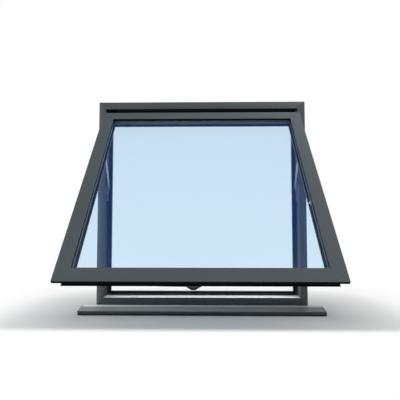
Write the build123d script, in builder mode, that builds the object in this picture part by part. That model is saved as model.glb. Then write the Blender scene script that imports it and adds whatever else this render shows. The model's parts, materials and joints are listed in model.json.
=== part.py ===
"""Top-hung flush casement window, shown open on its two friction stays.

X runs along the window, Y runs from outdoors to indoors, Z is up, all in millimetres.
The origin lies on the underside of the sill, in the plane that the outer frame's front touches.
"""

from build123d import *
import math
import os

os.makedirs("parts", exist_ok=True)

# Outer frame, whose front face is crowned and falls back to its outer edge
frame_width = 900.0
frame_height = 878.0
frame_face = 31.5
frame_wall = 2.2
face_fall = 4.0
frame_seal_gap = 8.7
upstand_thickness = 13.5
upstand_lap = 1.5
edge_radius = 0.8
mitre_gap = 0.15
outer_tube_depth = 24.0
break_depth = 12.0
lug_channel_width = 16.0
lug_channel_depth = 1.6
lug_channel_inset = 8.0
seal_groove_neck = 3.0
seal_groove_width = 5.0
seal_groove_lip = 1.2
seal_groove_depth = 4.0
seal_groove_inset = 4.7

# Fixing holes through the jambs and drain slots in the bottom rail
fixing_radius = 4.0
fixing_corner = 150.0
fixing_depth = 14.0
drain_length = 26.0
drain_width = 5.0
drain_corner = 160.0
drain_depth = 12.0

# Opening sash
sash_gap = 3.0
sash_face = 45.0
sash_wall = 2.2
sash_body_width = 16.0
flange_thickness = 9.0
lip_thickness = 5.0
hardware_groove_width = 14.0
hardware_groove_depth = 3.0
bead_groove_width = 3.0
bead_groove_depth = 2.0
bead_groove_inset = 3.0
wiper_groove_width = 3.0
wiper_groove_depth = 2.5
wiper_groove_inset = 3.0
open_angle = 39.04
open_forward = 38.9
open_drop = 24.9

# Sealed glass unit, its gaskets and beads
glass_edge_gap = 4.0
pane = 4.0
cavity = 20.0
outer_gasket_thickness = 4.0
outer_gasket_show = 1.2
inner_gasket_thickness = 2.5
gasket_edge_gap = 1.0
spacer_edge = 3.0
spacer_width = 7.0
spacer_wall = 1.0
bead_depth = 8.3
bead_overlap = 3.1
bead_front = 3.5
bead_slope = 7.0
bead_wall = 1.8
bead_fit = 0.3

# Seals
seal_fit = 0.15
seal_bulb_radius = 3.5
seal_bulb_wall = 1.2
seal_lean = 1.2
seal_squeeze = 1.0
wiper_thickness = 1.6

# Sill under the frame
sill_horn = 55.0
sill_thickness = 24.0
sill_projection = 71.5
sill_flat = 28.5
sill_fall = 8.6
sill_nose = 17.7
nose_face = 11.2
nose_chamfer = 4.5
nose_thickness = 10.5
sill_overhang_thickness = 17.0
sill_bed_front = 24.0
sill_wall = 2.5
end_cap_thickness = 3.0

# Friction stays, stacked in the gap between jamb and sash
track_depth = 38.0
track_width = 19.0
track_height = 5.0
track_wall = 1.8
track_lip = 3.0
track_end_clearance = 12.0
track_length = 390.0
track_screw_low = 30.0
track_screw_pitch = 45.0
track_screw_top = 45.0
slider_length = 44.0
slider_proud = 2.0
slider_corner = 2.0
arm_thickness = 3.0
arm_width = 15.0
arm_washer = 2.0
short_pivot = 45.0
long_pivot = 100.0
sash_arm_start = 26.0
sash_arm_length = 190.0
sash_arm_width = 16.0
sash_arm_screw_end = 12.0
sash_arm_screw_pitch = 30.0
sash_arm_screws = 3
pivot_radius = 3.0
pivot_head_radius = 5.0
pivot_head = 1.2
pivot_fit = 0.3
stay_cap_length = 24.0
stay_cap_height = 11.0
stay_cap_bevel = 2.0
stay_screw_radius = 2.2

# Handle on the bottom rail and its striker on the frame
handle_offset = -19.5
handle_clearance = 2.0
handle_base_length = 56.0
handle_base_width = 26.0
handle_base_thickness = 14.5
handle_base_round = 3.3
hub_radius = 12.0
lever_length = 104.0
lever_root = 14.0
lever_tip = 11.0
lever_thickness = 7.5
lever_rise = 0.5
lever_round = 2.0
spur_fit = 0.3
spur_length = 13.5
spur_shoulder = 26.5
spur_crown = 13.0
spur_tip = 6.0
spur_thickness = 6.0
spur_bevel = 1.5
striker_length = 42.0
striker_thickness = 1.2
striker_drop = 14.0

# The stays' stack sets how far the sash flange laps past its body
arm_start = track_height + slider_proud
arm_end = arm_start + arm_thickness
sash_arm_layer = arm_end + arm_washer
stay_gap = sash_arm_layer + arm_thickness
flange_overhang = stay_gap - sash_gap

# The glass unit sets how deep the sash is, and the sash how deep the frame is
glass_start = lip_thickness + outer_gasket_thickness
glass_end = glass_start + 2 * pane + cavity
bead_start = glass_end + inner_gasket_thickness
sash_depth = bead_start + bead_depth
rebate_depth = sash_depth + frame_seal_gap
frame_depth = rebate_depth + upstand_thickness
rebate_platform = flange_overhang + sash_body_width
glass_edge = rebate_platform + glass_edge_gap
gasket_edge = glass_edge + gasket_edge_gap
bead_edge = sash_face + bead_overlap
upstand_edge = frame_face + stay_gap + upstand_lap

# Places in the frame
sill_length = frame_width + 2 * sill_horn
frame_bottom = sill_thickness
frame_middle = frame_bottom + frame_height / 2
frame_top = frame_bottom + frame_height
jamb_face = frame_width / 2 - frame_face
sash_width = frame_width - 2 * (frame_face + sash_gap)
sash_height = frame_height - 2 * (frame_face + sash_gap)
closed_top = frame_top - frame_face - sash_gap
tilt = math.radians(open_angle)


def sash_point(down, depth):
    """Y and Z of a point given along the open sash's face and in from it."""
    y = -open_forward - down * math.sin(tilt) + depth * math.cos(tilt)
    z = closed_top - open_drop - down * math.cos(tilt) - depth * math.sin(tilt)
    return (y, z)


middle_y, middle_z = sash_point(sash_height / 2, 0)
frame_panel = Plane(origin=(0, 0, frame_middle), x_dir=(1, 0, 0), z_dir=(0, -1, 0))
sash_panel = Plane(
    origin=(0, middle_y, middle_z),
    x_dir=(1, 0, 0),
    z_dir=(0, -math.cos(tilt), math.sin(tilt)),
)


def save(builder, name):
    """Label one finished piece and write its file."""
    builder.part.label = name
    export_step(builder.part, f"parts/{name}.step")


def block(low_x, low_y, high_x, high_y, mode=Mode.ADD):
    """Rectangle between two corners of the current sketch."""
    with Locations(((low_x + high_x) / 2, (low_y + high_y) / 2)):
        Rectangle(high_x - low_x, high_y - low_y, mode=mode)


# Section sketches: X runs in from the outer edge of the ring, Y runs from outdoors to indoors
with BuildSketch() as frame_section:
    with BuildLine():
        TangentArc((frame_face, 0), (0, face_fall), tangent=(-1, 0))
        Polyline(
            (0, face_fall),
            (0, frame_depth),
            (upstand_edge, frame_depth),
            (upstand_edge, rebate_depth),
            (frame_face, rebate_depth),
            (frame_face, 0),
        )
    make_face()
    fillet(frame_section.vertices().sort_by(Axis.Y)[:2], radius=edge_radius)
    fillet(frame_section.vertices().sort_by(Axis.X)[-2:], radius=edge_radius)
    block(
        0,
        frame_depth - lug_channel_inset - lug_channel_width,
        lug_channel_depth,
        frame_depth - lug_channel_inset,
        mode=Mode.SUBTRACT,
    )
    chamber_edge = frame_face - frame_wall
    break_end = outer_tube_depth + frame_wall + break_depth
    inner_start = lug_channel_depth + frame_wall
    groove_middle = upstand_edge - seal_groove_inset
    groove_core = groove_middle - seal_groove_width / 2 - frame_wall
    groove_end = rebate_depth + seal_groove_depth
    with BuildLine():
        TangentArc((chamber_edge, frame_wall), (frame_wall, face_fall + frame_wall), tangent=(-1, 0))
        Polyline(
            (frame_wall, face_fall + frame_wall),
            (frame_wall, outer_tube_depth),
            (chamber_edge, outer_tube_depth),
            (chamber_edge, frame_wall),
        )
    make_face(mode=Mode.SUBTRACT)
    block(frame_wall, outer_tube_depth + frame_wall, chamber_edge, break_end, mode=Mode.SUBTRACT)
    block(
        inner_start,
        break_end + frame_wall,
        chamber_edge,
        frame_depth - frame_wall,
        mode=Mode.SUBTRACT,
    )
    block(
        chamber_edge,
        rebate_depth + frame_wall,
        groove_core,
        frame_depth - frame_wall,
        mode=Mode.SUBTRACT,
    )
    block(
        groove_core + frame_wall,
        groove_end + frame_wall,
        upstand_edge - frame_wall,
        frame_depth - frame_wall,
        mode=Mode.SUBTRACT,
    )
    block(
        groove_middle - seal_groove_neck / 2,
        rebate_depth,
        groove_middle + seal_groove_neck / 2,
        rebate_depth + seal_groove_lip,
        mode=Mode.SUBTRACT,
    )
    block(
        groove_middle - seal_groove_width / 2,
        rebate_depth + seal_groove_lip,
        groove_middle + seal_groove_width / 2,
        groove_end,
        mode=Mode.SUBTRACT,
    )

with BuildSketch() as frame_seal_section:
    neck_half = seal_groove_neck / 2 - seal_fit
    foot_half = seal_groove_width / 2 - seal_fit
    foot_start = rebate_depth + seal_groove_lip + seal_fit
    bulb_middle = groove_middle + seal_lean
    bulb_depth = rebate_depth - frame_seal_gap - seal_squeeze + seal_bulb_radius
    stem_end = bulb_depth + seal_bulb_radius - seal_bulb_wall / 2
    with BuildLine():
        Polyline(
            (groove_middle - neck_half, rebate_depth),
            (groove_middle + neck_half, rebate_depth),
            (bulb_middle + neck_half, stem_end),
            (bulb_middle - neck_half, stem_end),
            close=True,
        )
    make_face()
    with Locations((bulb_middle, bulb_depth)):
        Circle(seal_bulb_radius)
        Circle(seal_bulb_radius - seal_bulb_wall, mode=Mode.SUBTRACT)
    block(groove_middle - neck_half, rebate_depth, groove_middle + neck_half, foot_start)
    block(groove_middle - foot_half, foot_start, groove_middle + foot_half, groove_end - seal_fit)

with BuildSketch() as sash_section:
    with BuildLine():
        Polyline(
            (0, 0),
            (sash_face, 0),
            (sash_face, lip_thickness),
            (rebate_platform, lip_thickness),
            (rebate_platform, sash_depth),
            (flange_overhang, sash_depth),
            (flange_overhang, flange_thickness),
            (0, flange_thickness),
            close=True,
        )
    make_face()
    fillet(sash_section.vertices().sort_by(Axis.Y)[:2], radius=edge_radius)
    core_edge = rebate_platform - sash_wall
    bead_groove_start = bead_start + bead_groove_inset
    groove_start = track_depth - hardware_groove_width / 2
    groove_stop = track_depth + hardware_groove_width / 2
    block(
        flange_overhang,
        groove_start,
        flange_overhang + hardware_groove_depth,
        groove_stop,
        mode=Mode.SUBTRACT,
    )
    block(
        rebate_platform - bead_groove_depth,
        bead_groove_start,
        rebate_platform,
        bead_groove_start + bead_groove_width,
        mode=Mode.SUBTRACT,
    )
    block(
        wiper_groove_inset,
        flange_thickness - wiper_groove_depth,
        wiper_groove_inset + wiper_groove_width,
        flange_thickness,
        mode=Mode.SUBTRACT,
    )
    block(
        flange_overhang + sash_wall,
        sash_wall,
        core_edge,
        flange_thickness + sash_wall,
        mode=Mode.SUBTRACT,
    )
    block(
        flange_overhang + sash_wall,
        flange_thickness + 2 * sash_wall,
        core_edge,
        groove_start - sash_wall,
        mode=Mode.SUBTRACT,
    )
    block(
        flange_overhang + hardware_groove_depth + sash_wall,
        groove_start,
        core_edge - bead_groove_depth,
        sash_depth - sash_wall,
        mode=Mode.SUBTRACT,
    )

with BuildSketch() as wiper_section:
    block(
        wiper_groove_inset + seal_fit,
        flange_thickness - wiper_groove_depth + seal_fit,
        wiper_groove_inset + wiper_groove_width - seal_fit,
        flange_thickness,
    )
    wiper_end = wiper_groove_inset + wiper_groove_width
    block(0, flange_thickness, wiper_end, flange_thickness + wiper_thickness)

with BuildSketch() as outer_gasket_section:
    block(gasket_edge, lip_thickness, sash_face, glass_start)
    with BuildLine():
        Polyline(
            (sash_face, lip_thickness),
            (sash_face + outer_gasket_show, glass_start),
            (sash_face, glass_start),
            close=True,
        )
    make_face()

with BuildSketch() as inner_gasket_section:
    with BuildLine():
        Polyline(
            (gasket_edge, glass_end),
            (bead_edge - inner_gasket_thickness, glass_end),
            (bead_edge, bead_start),
            (gasket_edge, bead_start),
            close=True,
        )
    make_face()

with BuildSketch() as bead_section:
    bead_root = rebate_platform + bead_fit
    with BuildLine():
        Polyline(
            (bead_root, bead_start),
            (bead_edge, bead_start),
            (bead_edge, bead_start + bead_front),
            (bead_edge - bead_slope, sash_depth),
            (bead_root, sash_depth),
            close=True,
        )
    make_face()
    offset(amount=-bead_wall, mode=Mode.SUBTRACT)
    block(
        rebate_platform - bead_groove_depth + bead_fit,
        bead_groove_start + bead_fit,
        bead_root + bead_wall,
        bead_groove_start + bead_groove_width - bead_fit,
    )

with BuildSketch() as spacer_section:
    spacer_outer = glass_edge + spacer_edge
    block(spacer_outer, glass_start + pane, spacer_outer + spacer_width, glass_end - pane)
    block(
        spacer_outer + spacer_wall,
        glass_start + pane + spacer_wall,
        spacer_outer + spacer_width - spacer_wall,
        glass_end - pane - spacer_wall,
        mode=Mode.SUBTRACT,
    )


def mitred_bar(panel, turn, length, reach, section, cut_back=0.0):
    """One side of a rectangular ring, its section run along the side and cut at 45 degrees."""
    angle = math.radians(turn)
    along = panel.x_dir * math.cos(angle) + panel.y_dir * math.sin(angle)
    side = Plane(origin=panel.origin, x_dir=along, z_dir=panel.z_dir)
    edge = side.from_local_coords((0, reach, 0))
    with BuildPart() as bar:
        with BuildSketch(Plane(origin=edge, x_dir=-side.y_dir, z_dir=side.x_dir)):
            add(section.sketch)
        extrude(amount=length / 2, both=True)
        for way in (-1, 1):
            corner = side.from_local_coords((way * length / 2, reach, 0))
            across = (side.x_dir * way - side.y_dir).normalized()
            mitre = Plane(origin=corner - across * cut_back, z_dir=across)
            split(bisect_by=mitre, keep=Keep.BOTTOM)
    return bar


def sides_of(width, height):
    """Name, turn, length and reach of the four sides of a ring."""
    return (
        ("head", 0, width, height / 2),
        ("bottom", 180, width, height / 2),
        ("left", 90, height, width / 2),
        ("right", -90, height, width / 2),
    )


def save_ring(name, panel, width, height, section):
    """A gasket or spacer that runs round all four sides as one piece."""
    with BuildPart() as ring:
        for _, turn, length, reach in sides_of(width, height):
            add(mitred_bar(panel, turn, length, reach, section).part)
    save(ring, name)


# Outer frame bars
frame_names = {
    "head": "frame_head",
    "bottom": "frame_bottom_rail",
    "left": "frame_left_jamb",
    "right": "frame_right_jamb",
}
for place, turn, length, reach in sides_of(frame_width, frame_height):
    with BuildPart() as frame_bar:
        add(mitred_bar(frame_panel, turn, length, reach, frame_section, mitre_gap).part)
        if place in ("left", "right"):
            outward = -1 if place == "left" else 1
            jamb_outside = Plane(
                origin=(outward * frame_width / 2, 0, 0),
                x_dir=(0, 1, 0),
                z_dir=(outward, 0, 0),
            )
            with BuildSketch(jamb_outside):
                for height in (frame_bottom + fixing_corner, frame_top - fixing_corner):
                    with Locations((fixing_depth, outward * height)):
                        Circle(fixing_radius)
            extrude(amount=-frame_face, mode=Mode.SUBTRACT)
        if place == "bottom":
            with BuildSketch(Plane.XY.offset(frame_bottom + frame_face)):
                with Locations(
                    (drain_corner - frame_width / 2, drain_depth),
                    (frame_width / 2 - drain_corner, drain_depth),
                ):
                    SlotOverall(drain_length, drain_width)
            extrude(amount=-frame_face, mode=Mode.SUBTRACT)
    save(frame_bar, frame_names[place])

save_ring("frame_seal", frame_panel, frame_width, frame_height, frame_seal_section)

# Sash bars and the beads that hold the glass in them
sash_names = {
    "head": "sash_top_rail",
    "bottom": "sash_bottom_rail",
    "left": "sash_left_stile",
    "right": "sash_right_stile",
}
bead_names = {
    "head": "bead_top",
    "bottom": "bead_bottom",
    "left": "bead_left",
    "right": "bead_right",
}
for place, turn, length, reach in sides_of(sash_width, sash_height):
    save(mitred_bar(sash_panel, turn, length, reach, sash_section, mitre_gap), sash_names[place])
    save(mitred_bar(sash_panel, turn, length, reach, bead_section, mitre_gap), bead_names[place])

save_ring("sash_seal", sash_panel, sash_width, sash_height, wiper_section)
save_ring("outer_glazing_gasket", sash_panel, sash_width, sash_height, outer_gasket_section)
save_ring("inner_glazing_gasket", sash_panel, sash_width, sash_height, inner_gasket_section)
save_ring("spacer_bar", sash_panel, sash_width, sash_height, spacer_section)

# The two panes of the sealed unit
for name, start in (("outer_glass", glass_start), ("inner_glass", glass_end - pane)):
    with BuildPart() as glass:
        with BuildSketch(sash_panel.offset(-start)):
            Rectangle(sash_width - 2 * glass_edge, sash_height - 2 * glass_edge)
        extrude(amount=-pane)
    save(glass, name)


# Sill outline from its back edge over the nose to the bed: X is world Y and Y is world Z
nose_top = sill_thickness - sill_fall
nose_bottom = nose_top - sill_nose
nose_back = -sill_projection + nose_thickness
overhang = sill_thickness - sill_overhang_thickness
with BuildSketch() as sill_outline:
    with BuildLine():
        Polyline(
            (frame_depth, 0),
            (frame_depth, sill_thickness),
            (-sill_flat, sill_thickness),
            (-sill_projection, nose_top),
            (-sill_projection, nose_top - nose_face),
            (-sill_projection + nose_chamfer, nose_bottom),
            (nose_back, nose_bottom),
            (nose_back, overhang),
            (-sill_bed_front, overhang),
            (-sill_bed_front, 0),
            close=True,
        )
    make_face()

with BuildSketch() as horn_outline:
    add(sill_outline.sketch)
    block(0, 0, frame_depth, sill_thickness, mode=Mode.SUBTRACT)

# The horns are cut back to the frame's front plane, where a web closes them
with BuildPart() as sill:
    with BuildSketch(Plane.YZ):
        add(sill_outline.sketch)
        offset(amount=-sill_wall, mode=Mode.SUBTRACT)
        for web_back in (sill_wall - sill_bed_front, 0, frame_depth / 2):
            block(web_back - sill_wall, sill_wall, web_back, sill_thickness - sill_wall)
    extrude(amount=sill_length / 2 - end_cap_thickness, both=True)
    with BuildSketch():
        block(-sill_length / 2, 0, -frame_width / 2, frame_depth)
        block(frame_width / 2, 0, sill_length / 2, frame_depth)
    extrude(amount=sill_thickness, mode=Mode.SUBTRACT)
save(sill, "sill")

for name, way in (("sill_left_end_cap", -1), ("sill_right_end_cap", 1)):
    with BuildPart() as end_cap:
        with BuildSketch(Plane.YZ.offset(way * (sill_length / 2 - end_cap_thickness))):
            add(horn_outline.sketch)
        extrude(amount=way * end_cap_thickness)
        tip = end_cap.faces().sort_by(Axis.X)[-1 if way > 0 else 0]
        fillet(tip.edges(), radius=edge_radius)
    save(end_cap, name)


def track_pivot(down):
    """Z of the pivot on the track that is as far from a sash pivot when shut as when open."""
    open_y, open_z = sash_point(down, track_depth)
    closed_z = closed_top - down
    return (closed_z**2 - open_z**2 - (open_y - track_depth) ** 2) / (2 * (closed_z - open_z))


def arm_outline(start, end, width):
    """Round-ended bar between two pivots of the current sketch."""
    run = math.dist(start, end)
    angle = math.degrees(math.atan2(end[1] - start[1], end[0] - start[0]))
    with Locations(((start[0] + end[0]) / 2, (start[1] + end[1]) / 2)):
        SlotCenterToCenter(run, width, rotation=angle)


def cross_pin(side, place, start, end, radius):
    """Round pin across the stay, between two distances in from the jamb."""
    with BuildPart() as pin:
        with BuildSketch(Plane.YZ.offset(side * (jamb_face - start))):
            with Locations(place):
                Circle(radius)
        extrude(amount=-side * (end - start))
    return pin.part


track_top = frame_top - frame_face - track_end_clearance
track_bottom = track_top - track_length
short_track = (track_depth, track_pivot(short_pivot))
long_track = (track_depth, track_pivot(long_pivot))
short_sash = sash_point(short_pivot, track_depth)
long_sash = sash_point(long_pivot, track_depth)
half_bed = track_width / 2 - track_wall
half_mouth = half_bed - track_lip
pin_end = sash_arm_layer + arm_thickness / 2

for hand, side in (("left", -1), ("right", 1)):
    track_foot = Plane(
        origin=(side * jamb_face, track_depth, track_bottom),
        x_dir=(-side, 0, 0),
        z_dir=(0, 0, 1),
    )
    with BuildPart() as stay_track:
        with BuildSketch(track_foot):
            block(0, -track_width / 2, track_height, track_width / 2)
            block(track_wall, -half_bed, track_height - track_wall, half_bed, mode=Mode.SUBTRACT)
            block(track_wall, -half_mouth, track_height, half_mouth, mode=Mode.SUBTRACT)
        extrude(amount=track_length)
        add(cross_pin(side, short_track, track_wall, arm_start, pivot_head_radius))
        add(cross_pin(side, short_track, arm_start, arm_end + pivot_head, pivot_radius))
        low_screw = track_bottom + track_screw_low
        for height in (low_screw, low_screw + track_screw_pitch, track_top - track_screw_top):
            hole = cross_pin(side, (track_depth, height), 0, track_wall, stay_screw_radius)
            add(hole, mode=Mode.SUBTRACT)
    save(stay_track, f"{hand}_stay_track")

    with BuildPart() as stay_slider:
        with BuildSketch(Plane.YZ.offset(side * (jamb_face - track_wall))):
            with Locations(long_track):
                RectangleRounded(2 * half_mouth - 2 * pivot_fit, slider_length, radius=slider_corner)
        extrude(amount=-side * (arm_start - track_wall))
        add(cross_pin(side, long_track, arm_start, arm_end + pivot_head, pivot_radius))
    save(stay_slider, f"{hand}_stay_slider")

    arms = (("short", short_track, short_sash), ("long", long_track, long_sash))
    for reach_name, track_end, sash_end in arms:
        with BuildPart() as stay_arm:
            with BuildSketch(Plane.YZ.offset(side * (jamb_face - arm_start))):
                arm_outline(track_end, sash_end, arm_width)
                with Locations(track_end):
                    Circle(pivot_radius + pivot_fit, mode=Mode.SUBTRACT)
            extrude(amount=-side * arm_thickness)
            add(cross_pin(side, sash_end, arm_end, sash_arm_layer, pivot_head_radius))
            add(cross_pin(side, sash_end, sash_arm_layer, pin_end, pivot_radius))
        save(stay_arm, f"{hand}_stay_{reach_name}_arm")

    with BuildPart() as stay_sash_arm:
        arm_low = sash_point(sash_arm_start, track_depth)
        arm_high = sash_point(sash_arm_start + sash_arm_length, track_depth)
        with BuildSketch(Plane.YZ.offset(side * (jamb_face - sash_arm_layer))):
            arm_outline(arm_low, arm_high, sash_arm_width)
        extrude(amount=-side * arm_thickness)
        for place in (short_sash, long_sash):
            hole = cross_pin(side, place, sash_arm_layer, pin_end, pivot_radius + pivot_fit)
            add(hole, mode=Mode.SUBTRACT)
        for step in range(sash_arm_screws):
            down = sash_arm_start + sash_arm_length - sash_arm_screw_end - step * sash_arm_screw_pitch
            place = sash_point(down, track_depth)
            hole = cross_pin(side, place, sash_arm_layer, stay_gap, stay_screw_radius)
            add(hole, mode=Mode.SUBTRACT)
    save(stay_sash_arm, f"{hand}_stay_sash_arm")

    with BuildPart() as stay_end_cap:
        with BuildSketch(Plane.YZ.offset(side * (jamb_face - track_height))):
            with Locations((track_depth, track_top - stay_cap_length / 2)):
                Rectangle(track_width, stay_cap_length)
        extrude(amount=-side * (stay_cap_height - track_height))
        inner_face = stay_end_cap.faces().sort_by(Axis.X)[0 if side > 0 else -1]
        chamfer(inner_face.edges(), length=stay_cap_bevel)
    save(stay_end_cap, f"{hand}_stay_end_cap")

# Handle: sketches lie parallel to the sash on its room side, X to the right as seen from outdoors
upstand_reach = upstand_edge - frame_face - sash_gap
handle_height = upstand_reach + handle_clearance + handle_base_width / 2
centre_x = handle_offset
centre_y = handle_height - sash_height / 2
spur_start = frame_depth - sash_depth + striker_thickness + spur_fit
handle_end = spur_start + spur_thickness


def handle_level(height):
    """Plane parallel to the sash, at a height over the rail's room side, seen from outdoors."""
    return sash_panel.offset(-sash_depth - height)


def room_face(builder):
    """The face of a handle piece that lies furthest into the room."""
    return builder.faces().sort_by(Axis(sash_panel.origin, sash_panel.z_dir))[0]


with BuildPart() as handle_base:
    with BuildSketch(handle_level(0)):
        with Locations((centre_x, centre_y)):
            SlotOverall(handle_base_length, handle_base_width)
    extrude(amount=-handle_base_thickness)
    fillet(room_face(handle_base).edges(), radius=handle_base_round)
save(handle_base, "handle_base")

with BuildPart() as handle_lever:
    with BuildSketch(handle_level(handle_base_thickness + lever_rise)):
        with BuildLine():
            tip_x = centre_x - lever_length
            Polyline(
                (tip_x, centre_y - lever_tip / 2),
                (centre_x, centre_y - lever_root / 2),
                (centre_x, centre_y + lever_root / 2),
                (tip_x, centre_y + lever_tip / 2),
            )
            ThreePointArc(
                (tip_x, centre_y + lever_tip / 2),
                (tip_x - lever_tip / 2, centre_y),
                (tip_x, centre_y - lever_tip / 2),
            )
        make_face()
    extrude(amount=-lever_thickness)
    fillet(room_face(handle_lever).edges(), radius=lever_round)
    with BuildSketch(handle_level(spur_start)):
        with BuildLine():
            Polyline(
                (centre_x - spur_shoulder, centre_y),
                (centre_x - spur_tip, centre_y - spur_length),
                (centre_x + spur_tip, centre_y - spur_length),
                (centre_x + spur_shoulder, centre_y),
            )
            ThreePointArc(
                (centre_x + spur_shoulder, centre_y),
                (centre_x, centre_y + spur_crown),
                (centre_x - spur_shoulder, centre_y),
            )
        make_face()
    extrude(amount=-spur_thickness)
    chamfer(room_face(handle_lever).edges(), length=spur_bevel)
    with BuildSketch(handle_level(handle_base_thickness)):
        with Locations((centre_x, centre_y)):
            Circle(hub_radius)
    extrude(amount=-(handle_end - handle_base_thickness))
save(handle_lever, "handle_lever")

with BuildPart() as striker_plate:
    striker_top = frame_bottom + upstand_edge
    with BuildSketch(Plane.XZ.offset(-frame_depth)):
        block(
            handle_offset - striker_length / 2,
            striker_top - striker_drop,
            handle_offset + striker_length / 2,
            striker_top,
        )
    extrude(amount=-striker_thickness)
save(striker_plate, "striker_plate")
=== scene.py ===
import json
import math

import bmesh
import bpy
from mathutils import Matrix, Vector


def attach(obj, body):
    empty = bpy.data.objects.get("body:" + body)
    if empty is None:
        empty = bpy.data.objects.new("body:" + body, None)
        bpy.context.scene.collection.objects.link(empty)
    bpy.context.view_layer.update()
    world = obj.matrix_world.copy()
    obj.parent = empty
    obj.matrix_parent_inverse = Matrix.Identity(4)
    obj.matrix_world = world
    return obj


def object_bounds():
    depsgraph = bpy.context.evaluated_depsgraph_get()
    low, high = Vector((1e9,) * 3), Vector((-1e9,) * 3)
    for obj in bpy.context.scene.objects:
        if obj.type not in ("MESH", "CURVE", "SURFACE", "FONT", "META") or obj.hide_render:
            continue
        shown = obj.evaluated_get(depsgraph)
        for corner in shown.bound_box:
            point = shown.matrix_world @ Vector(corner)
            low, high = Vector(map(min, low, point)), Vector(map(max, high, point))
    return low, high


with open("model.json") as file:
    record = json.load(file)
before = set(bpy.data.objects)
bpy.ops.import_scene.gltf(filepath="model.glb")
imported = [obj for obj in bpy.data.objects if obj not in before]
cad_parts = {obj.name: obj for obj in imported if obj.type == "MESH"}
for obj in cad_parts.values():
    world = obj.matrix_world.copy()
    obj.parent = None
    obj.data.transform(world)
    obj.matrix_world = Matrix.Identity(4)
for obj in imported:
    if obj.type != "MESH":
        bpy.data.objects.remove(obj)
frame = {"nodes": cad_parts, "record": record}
cad_box = [list(corner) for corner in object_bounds()]
nodes = frame["nodes"]
scene = bpy.context.scene

# Camera, fitted to the edges measured in the photograph
camera_place = (0.01611, -1.5601, 0.38346)
camera_pitch = 3.217
camera_yaw = 0.849
focal_pixels = 362.35
image_pixels = 400
sensor_width = 36.0

# Floor: its colour where seen, a dim one for the light that it throws back, a gradient round the window's
# foot that deepens its shadow, and the fades to plain white beyond and in front
floor_half = 20.0
floor_colour = (0.95, 0.95, 0.95, 1)
floor_bounce = (0.08, 0.08, 0.08, 1)
shadow_centre = (0.02, 0.0, 0)
shadow_core = (0.48, 0.08, 1)
shadow_dark = 0.5
shadow_reach = 0.44
fade_core = (0.75, 0.4, 1)
fade_width = 0.3
front_white = -0.29
front_fade = 0.05

# Surroundings: by the height of a direction, blue above in mirrors, soft fill from above for the rest
seen_white = (1, 1, 1, 1)
zenith_colour = (0.08, 0.16, 0.5, 1)
zenith_span = (0.65, 0.95)
fill_above = (1.65, 1.65, 1.65, 1)
fill_below = (0.0, 0.0, 0.0, 1)
fill_span = (0.25, 0.95)

# Lamps: place, aim, width and height, power
side_panel = ((-1.3, -0.03, 0.6), (0.3, -0.03, 0.15), (0.4, 0.4), 24)
top_panel = ((1.0, -0.4, 1.6), (0.2, -0.1, 0.7), (0.5, 0.5), 8)

# Screws of the stays: seats on the plates, places of their holes, and radius and height of each ring
track_plate = 0.4167
track_centre = 0.038
track_screws = (0.4985, 0.5435, 0.8135)
arm_plate = 0.4065
arm_screws = ((-0.1001, 0.7068), (-0.1190, 0.6835), (-0.1379, 0.6602))
screw_sides = 24
recess_arms = 4
arm_corners = 2
screw_rings = (
    (0.0019, -0.0015), (0.0019, 0.0), (0.0034, 0.0), (0.0038, 0.0004),
    (0.0036, 0.0010), (0.0029, 0.0015), (0.0021, 0.0017),
)
recess_depth = 0.0009
recess_waist = 0.45

# Surfaces: grains per metre of their patterns, shades of the base colour, and where masks start and end
cloud_grain = 3.0
smear_grain = 9.0
mould_cloud_grain = 25.0
rubber_cloud_grain = 40.0
# Grain of the noise that breaks up the painted highlights
breakup_grain = 60.0
brush_grain = 220.0
speck_grain = 700.0
rubber_grain = 900.0
mould_grain = 1200.0
peel_grain = 1600.0
speck_shade = 1.6
speck_share = 0.25
speck_span = (0.62, 0.74)
# How much of the painted highlight shows, from the noise that breaks it up
breakup_shares = (0.75, 1.0)
# Painted shade on undersides, as a share of the base colour
underside_painted_shade = 0.03
# Painted shade in crevices, as a share of the base colour
crevice_painted_shade = 0.05
level_span = (0.985, 0.995)
underside_span = (-0.76, -0.5)
crevice_span = (0.2, 0.8)
crevice_reach = 0.06
grain_height = 0.0003
band_softness = 0.0015
# Where the painted sheen of the sill's flat and the painted highlight of the rail's land lie
sill_flat_depth = 0.0285
land_heights = (0.054, 0.057)
glass_index = 1.5
glass_tint = (0.845, 0.948, 1.0, 1)
lamp_through_glass = 0.6


def linear(red, green, blue):
    """Scene colour of a screen colour given in steps of 255."""
    def channel(step):
        part = step / 255
        return part / 12.92 if part <= 0.04045 else ((part + 0.055) / 1.055) ** 2.4
    return (channel(red), channel(green), channel(blue), 1.0)


def scaled(colour, factor):
    return tuple(value * factor for value in colour[:3]) + (1.0,)


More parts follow.
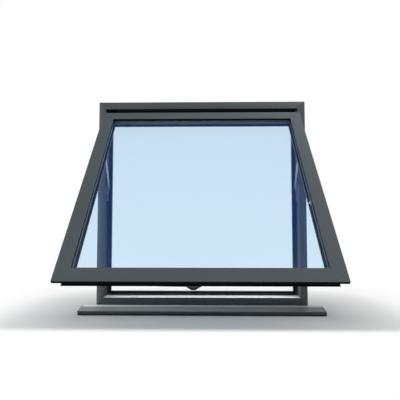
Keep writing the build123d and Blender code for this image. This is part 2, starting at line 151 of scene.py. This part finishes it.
class Shader:
    """A node tree with short calls to add and join nodes."""

    def __init__(self, tree, output):
        self.tree = tree
        self.tree.nodes.clear()
        self.output = self.add(output)

    def add(self, kind, **settings):
        node = self.tree.nodes.new(kind)
        for key, value in settings.items():
            setattr(node, key, value)
        return node

    def join(self, source, target):
        self.tree.links.new(source, target)

    def principled(self, **inputs):
        node = self.add("ShaderNodeBsdfPrincipled")
        for key, value in inputs.items():
            node.inputs[key.replace("_", " ").title().replace("Ior", "IOR")].default_value = value
        self.join(node.outputs["BSDF"], self.output.inputs["Surface"])
        return node

    def place(self):
        """The object's own coordinates, in metres."""
        return self.add("ShaderNodeTexCoord").outputs["Object"]

    def noise(self, scale, detail=3.0, stretch=(1, 1, 1)):
        mapping = self.add("ShaderNodeMapping")
        mapping.inputs["Scale"].default_value = stretch
        node = self.add("ShaderNodeTexNoise")
        node.inputs["Scale"].default_value = scale
        node.inputs["Detail"].default_value = detail
        self.join(self.place(), mapping.inputs["Vector"])
        self.join(mapping.outputs["Vector"], node.inputs["Vector"])
        return node.outputs["Fac"]

    def ramp(self, source, low, high, start=0.3, end=0.7):
        node = self.add("ShaderNodeMapRange")
        node.inputs["From Min"].default_value = start
        node.inputs["From Max"].default_value = end
        node.inputs["To Min"].default_value = low
        node.inputs["To Max"].default_value = high
        self.join(source, node.inputs["Value"])
        return node.outputs["Result"]

    def blend(self, source, first, second):
        """Mix of two colours, each a plain one or a node's output."""
        node = self.add("ShaderNodeMix", data_type="RGBA")
        for index, colour in ((6, first), (7, second)):
            if isinstance(colour, tuple):
                node.inputs[index].default_value = colour
            else:
                self.join(colour, node.inputs[index])
        self.join(source, node.inputs[0])
        return node.outputs[2]

    def mottle(self, source, colour, dark, light):
        """A colour that wavers between two shades of itself."""
        return self.blend(source, scaled(colour, dark), scaled(colour, light))

    def combine(self, operation, first, second):
        node = self.add("ShaderNodeMath", operation=operation)
        self.join(first, node.inputs[0])
        self.join(second, node.inputs[1])
        return node.outputs[0]

    def mix_shaders(self, source, first, second):
        node = self.add("ShaderNodeMixShader")
        self.join(source, node.inputs[0])
        self.join(first.outputs[0], node.inputs[1])
        self.join(second.outputs[0], node.inputs[2])
        return node

    def part(self, source, letter):
        """One of the three numbers of a vector."""
        split = self.add("ShaderNodeSeparateXYZ")
        self.join(source, split.inputs[0])
        return split.outputs[letter]

    def upward(self):
        """Height of the surface's normal: 1 facing up, -1 facing down."""
        return self.part(self.add("ShaderNodeNewGeometry").outputs["True Normal"], "Z")

    def facing_up(self):
        return self.ramp(self.upward(), 0.0, 1.0, *level_span)

    def facing_down(self):
        return self.ramp(self.upward(), 1.0, 0.0, *underside_span)

    def crevice(self):
        """1 in the open, falling to 0 where the same object's surfaces crowd a point."""
        node = self.add("ShaderNodeAmbientOcclusion", samples=8, only_local=True)
        node.inputs["Distance"].default_value = crevice_reach
        return self.ramp(node.outputs["AO"], 0.0, 1.0, *crevice_span)

    def band(self, letter, low, high):
        """1 between two places on an axis of the object, with soft edges."""
        place = self.part(self.place(), letter)
        rise = self.ramp(place, 0.0, 1.0, low - band_softness, low)
        fall = self.ramp(place, 1.0, 0.0, high, high + band_softness)
        return self.combine("MULTIPLY", rise, fall)

    def beside(self, centre, half):
        """How far a point of the floor lies from a rectangle on it."""
        steps = [("SUBTRACT", centre), ("ABSOLUTE", None), ("SUBTRACT", half), ("MAXIMUM", (0, 0, 0))]
        source = self.place()
        for operation, value in steps:
            node = self.add("ShaderNodeVectorMath", operation=operation)
            self.join(source, node.inputs[0])
            if value:
                node.inputs[1].default_value = value
            source = node.outputs["Vector"]
        length = self.add("ShaderNodeVectorMath", operation="LENGTH")
        self.join(source, length.inputs[0])
        return length.outputs["Value"]

    def bump(self, source, principled, strength):
        node = self.add("ShaderNodeBump")
        node.inputs["Strength"].default_value = strength
        node.inputs["Distance"].default_value = grain_height
        self.join(source, node.inputs["Height"])
        self.join(node.outputs["Normal"], principled.inputs["Normal"])

    def seen_rays(self):
        """1 for rays that see, mirror or look through, 0 for rays that gather light."""
        rays = self.add("ShaderNodeLightPath").outputs
        seen = self.combine("MAXIMUM", rays["Is Camera Ray"], rays["Is Glossy Ray"])
        return self.combine("MAXIMUM", seen, rays["Is Transmission Ray"])


class Material(Shader):
    """The node tree of a new material."""

    def __init__(self, name):
        self.material = bpy.data.materials.new(name)
        self.material.use_nodes = True
        super().__init__(self.material.node_tree, "ShaderNodeOutputMaterial")


def powder_coat(name, colour, roughness=0.42, gloss=0.25, painted_highlight=None, painted_underside_shade=False):
    """Textured polyester coat: fine orange peel, faint cloudiness, and painted shade that darkens the
    crevices.

    The highlight argument, (axis, low, high, colour), paints a highlight on the level surfaces between two
    places on an axis.
    The underside argument paints shade: what faces down is painted nearly black and made matt.
    """
    shader = Material(name)
    coat = shader.principled(specular_ior_level=gloss)
    cloud = shader.ramp(shader.noise(cloud_grain, detail=4), 0.0, 1.0)
    tint = shader.mottle(cloud, colour, dark=0.95, light=1.05)
    speck = shader.ramp(shader.noise(speck_grain, detail=2), 0.0, speck_share, *speck_span)
    tint = shader.blend(speck, tint, scaled(colour, speck_shade))
    # Painted highlight: level surfaces within the band are painted paler, broken up by noise
    if painted_highlight:
        letter, low, high, highlight_colour = painted_highlight
        mask = shader.combine("MULTIPLY", shader.band(letter, low, high), shader.facing_up())
        highlight_breakup = shader.ramp(shader.noise(breakup_grain, detail=4), *breakup_shares)
        tint = shader.blend(shader.combine("MULTIPLY", mask, highlight_breakup), tint, highlight_colour)
    rough = shader.ramp(shader.noise(smear_grain, detail=5), roughness - 0.05, roughness + 0.07)
    # Painted shade: surfaces that face down are painted nearly black, and made matt
    if painted_underside_shade:
        tint = shader.blend(shader.facing_down(), tint, scaled(colour, underside_painted_shade))
        rough = shader.combine("MAXIMUM", rough, shader.facing_down())
    # Painted shade: the colour darkens to near black where the object's own surfaces crowd round, as shade
    # falls in recesses
    tint = shader.blend(shader.crevice(), scaled(colour, crevice_painted_shade), tint)
    shader.join(tint, coat.inputs["Base Color"])
    shader.join(rough, coat.inputs["Roughness"])
    shader.bump(shader.noise(peel_grain, detail=2), coat, strength=0.12)
    return shader.material


def rubber(name, colour):
    shader = Material(name)
    base = shader.principled(roughness=0.85, specular_ior_level=0.05)
    cloud = shader.ramp(shader.noise(rubber_cloud_grain), 0, 1)
    shader.join(shader.mottle(cloud, colour, dark=0.8, light=1.25), base.inputs["Base Color"])
    shader.bump(shader.noise(rubber_grain), base, strength=0.15)
    return shader.material


def brushed(name, colour, stretch=(1, 1, 1), roughness=0.24, metallic=1.0):
    shader = Material(name)
    base = shader.principled(metallic=metallic)
    lines = shader.noise(brush_grain, 4, stretch)
    shader.join(shader.mottle(lines, colour, dark=0.8, light=1.1), base.inputs["Base Color"])
    shader.join(shader.ramp(lines, roughness, roughness * 1.7), base.inputs["Roughness"])
    shader.bump(lines, base, strength=0.1)
    return shader.material


def moulded(name, colour):
    shader = Material(name)
    base = shader.principled(roughness=0.55, specular_ior_level=0.4)
    cloud = shader.ramp(shader.noise(mould_cloud_grain), 0, 1)
    shader.join(shader.mottle(cloud, colour, dark=0.85, light=1.15), base.inputs["Base Color"])
    shader.bump(shader.noise(mould_grain), base, strength=0.1)
    return shader.material


def float_glass(name):
    """Clear tinted glass that lets the lamps' light through."""
    shader = Material(name)
    glass = shader.principled(roughness=0.0, transmission_weight=1.0, specular_ior_level=0.15)
    glass.inputs["IOR"].default_value = glass_index
    glass.inputs["Base Color"].default_value = glass_tint
    clear = shader.add("ShaderNodeBsdfTransparent")
    clear.inputs["Color"].default_value = scaled(glass_tint, lamp_through_glass)
    rays = shader.add("ShaderNodeLightPath")
    mix = shader.mix_shaders(rays.outputs["Is Shadow Ray"], glass, clear)
    shader.join(mix.outputs["Shader"], shader.output.inputs["Surface"])
    return shader.material


coat_colour = linear(84, 91, 94)
# Painted sheen: the sill's level flat behind its slope is painted paler
painted_flat_sheen = ("Y", -sill_flat_depth, 0.0, linear(150, 152, 152))
# Painted highlight: the bottom rail's level land in front of its upstand is painted white
painted_land_highlight = ("Z", *land_heights, (1.0, 1.0, 1.0, 1))
materials = {
    "frame_paint": powder_coat("frame_powder_coat", coat_colour),
    # The sash's undersides carry painted shade
    "sash_paint": powder_coat("sash_powder_coat", linear(87, 95, 98), gloss=0.12, painted_underside_shade=True),
    "bead_paint": powder_coat("bead_powder_coat", coat_colour, 0.25, 0.6),
    # The sill's flat carries a painted sheen
    "sill_paint": powder_coat("sill_powder_coat", coat_colour, painted_highlight=painted_flat_sheen),
    "sill_cap": moulded("sill_cap_plastic", linear(78, 84, 87)),
    "black_rubber": rubber("seal_rubber", linear(24, 26, 28)),
    "clear_glass": float_glass("float_glass"),
    "spacer": brushed("spacer_aluminium", linear(118, 118, 126), roughness=0.3, metallic=0.4),
    "stay_steel": brushed("stay_steel", linear(176, 176, 172), (1, 1, 20)),
    "stay_plastic": moulded("stay_plastic", linear(32, 33, 35)),
    "handle_paint": powder_coat("handle_powder_coat", linear(52, 56, 60), 0.38),
    "striker_steel": brushed("striker_steel", linear(150, 150, 148)),
}

# Nodes whose paint differs from their slot's: the bottom rail has a painted highlight on the land in front
# of its upstand
own_materials = {
    "frame_bottom_rail": powder_coat("frame_rail_painted_highlight_coat", coat_colour, gloss=0.2, painted_highlight=painted_land_highlight),
    # The head is painted lighter than the other bars, a painted highlight, and carries painted shade on its
    # undersides
    "frame_head": powder_coat("frame_head_painted_light_coat", linear(98, 104, 107), 0.45, 0.15, painted_underside_shade=True),
}


def make_camera():
    data = bpy.data.cameras.new("camera")
    data.sensor_width = sensor_width
    data.lens = focal_pixels / image_pixels * sensor_width
    data.clip_start = 0.05
    data.clip_end = 100
    camera = bpy.data.objects.new("camera", data)
    camera.location = camera_place
    camera.rotation_euler = (math.radians(90 + camera_pitch), 0, math.radians(camera_yaw))
    scene.collection.objects.link(camera)
    scene.camera = camera


def dress_nodes():
    """Give each CAD node its own material or that of its slot."""
    for part in frame["record"]["subparts"]:
        node = nodes[part["node"]]
        node.data.materials.clear()
        node.data.materials.append(own_materials.get(part["node"], materials[part["material_slot"]]))


def cut_recess(mesh, top):
    """Sink a cross-shaped driver recess into a screw's top face, with arms that reach the face's edge."""
    bmesh.ops.inset_individual(mesh, faces=[top], thickness=0)
    for index, vertex in enumerate(top.verts):
        if index % (screw_sides // recess_arms) >= arm_corners:
            vertex.co.x *= recess_waist
            vertex.co.y *= recess_waist
    bottom = bmesh.ops.extrude_discrete_faces(mesh, faces=[top])["faces"][0]
    bmesh.ops.translate(mesh, verts=bottom.verts, vec=(0, 0, -recess_depth))


def screw(name, place, axis):
    """Pan-headed stay screw, its shank in the hole and its head on the plate."""
    mesh = bmesh.new()
    loops = []
    for radius, height in screw_rings:
        angles = [math.tau * step / screw_sides for step in range(screw_sides)]
        points = [(radius * math.cos(angle), radius * math.sin(angle), height) for angle in angles]
        loops.append([mesh.verts.new(point) for point in points])
    for lower, upper in zip(loops, loops[1:]):
        for step in range(screw_sides):
            after = (step + 1) % screw_sides
            mesh.faces.new((lower[step], lower[after], upper[after], upper[step]))
    mesh.faces.new(tuple(reversed(loops[0])))
    cut_recess(mesh, mesh.faces.new(tuple(loops[-1])))
    bmesh.ops.recalc_face_normals(mesh, faces=mesh.faces)
    data = bpy.data.meshes.new(name)
    mesh.to_mesh(data)
    mesh.free()
    piece = bpy.data.objects.new(name, data)
    spin = Vector(axis).to_track_quat("Z", "Y").to_matrix().to_4x4()
    data.transform(Matrix.Translation(Vector(place)) @ spin)
    data.materials.append(materials["stay_steel"])
    scene.collection.objects.link(piece)
    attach(piece, "root")


def add_screws():
    """Screws of the stay tracks and sash arms, on both sides."""
    for side, sign in (("left", 1), ("right", -1)):
        for number, height in enumerate(track_screws):
            place = (-sign * track_plate, track_centre, height)
            screw(f"{side}_track_screw_{number + 1}", place, (sign, 0, 0))
        for number, (depth, height) in enumerate(arm_screws):
            screw(f"{side}_arm_screw_{number + 1}", (-sign * arm_plate, depth, height), (-sign, 0, 0))


def make_floor(low):
    """Plain white studio floor with the window's shadow, deepened at its foot and faded to white around."""
    data = bpy.data.meshes.new("floor")
    corners = [(-floor_half, -floor_half, low), (floor_half, -floor_half, low)]
    corners += [(floor_half, floor_half, low), (-floor_half, floor_half, low)]
    data.from_pydata(corners, [], [(0, 1, 2, 3)])
    plane = bpy.data.objects.new("floor", data)
    scene.collection.objects.link(plane)
    shader = Material("floor_white")
    shaded = shader.add("ShaderNodeBsdfDiffuse")
    dim = shader.add("ShaderNodeBsdfDiffuse")
    dim.inputs["Color"].default_value = floor_bounce
    glow = shader.add("ShaderNodeEmission")
    shade = shader.ramp(shader.beside(shadow_centre, shadow_core), shadow_dark, 1.0, 0.0, shadow_reach)
    shader.join(shader.blend(shade, (0, 0, 0, 1), floor_colour), shaded.inputs["Color"])
    beyond = shader.ramp(shader.beside(shadow_centre, fade_core), 0.0, 1.0, 0.0, fade_width)
    depth = shader.part(shader.place(), "Y")
    ahead = shader.ramp(depth, 1.0, 0.0, front_white, front_white + front_fade)
    seen = shader.mix_shaders(shader.combine("MAXIMUM", beyond, ahead), shaded, glow)
    surface = shader.mix_shaders(shader.seen_rays(), dim, seen)
    shader.join(surface.outputs[0], shader.output.inputs["Surface"])
    data.materials.append(shader.material)
    return plane


def make_world():
    """White surroundings for what is seen, mirrored or seen through; soft fill from above for the rest."""
    world = bpy.data.worlds.new("studio")
    scene.world = world
    world.use_nodes = True
    sky = Shader(world.node_tree, "ShaderNodeOutputWorld")
    height = sky.part(sky.add("ShaderNodeTexCoord").outputs["Generated"], "Z")
    rays = sky.add("ShaderNodeLightPath")
    zenith = sky.ramp(height, 0.0, 1.0, *zenith_span)
    mirrored = sky.combine("MULTIPLY", zenith, rays.outputs["Is Glossy Ray"])
    seen_colour = sky.blend(mirrored, seen_white, zenith_colour)
    fill_colour = sky.blend(sky.ramp(height, 0.0, 1.0, *fill_span), fill_below, fill_above)
    background = sky.add("ShaderNodeBackground")
    sky.join(sky.blend(sky.seen_rays(), fill_colour, seen_colour), background.inputs["Color"])
    sky.join(background.outputs[0], sky.output.inputs["Surface"])


def area_light(name, place, target, size, power):
    """Soft panel that lights things but doesn't show in gloss."""
    data = bpy.data.lights.new(name, "AREA")
    data.shape = "RECTANGLE"
    data.size, data.size_y = size
    data.energy = power
    light = bpy.data.objects.new(name, data)
    light.location = place
    light.rotation_euler = (Vector(target) - Vector(place)).to_track_quat("-Z", "Y").to_euler()
    light.visible_glossy = False
    scene.collection.objects.link(light)
    return light


def keep_off(light, shaded):
    """Flag a lamp so that it lights everything but these objects."""
    flag = bpy.data.collections.new(light.name + "_flag")
    for thing in shaded:
        flag.objects.link(thing)
    light.light_linking.receiver_collection = flag
    for entry in flag.collection_objects:
        entry.light_linking.link_state = "EXCLUDE"


make_camera()
dress_nodes()
add_screws()
floor = make_floor(cad_box[0][2])
make_world()
keep_off(area_light("left_panel", *side_panel), [floor])
keep_off(area_light("top_right_panel", *top_panel), [floor, nodes["sill"]])

scene.view_settings.view_transform = "Standard"
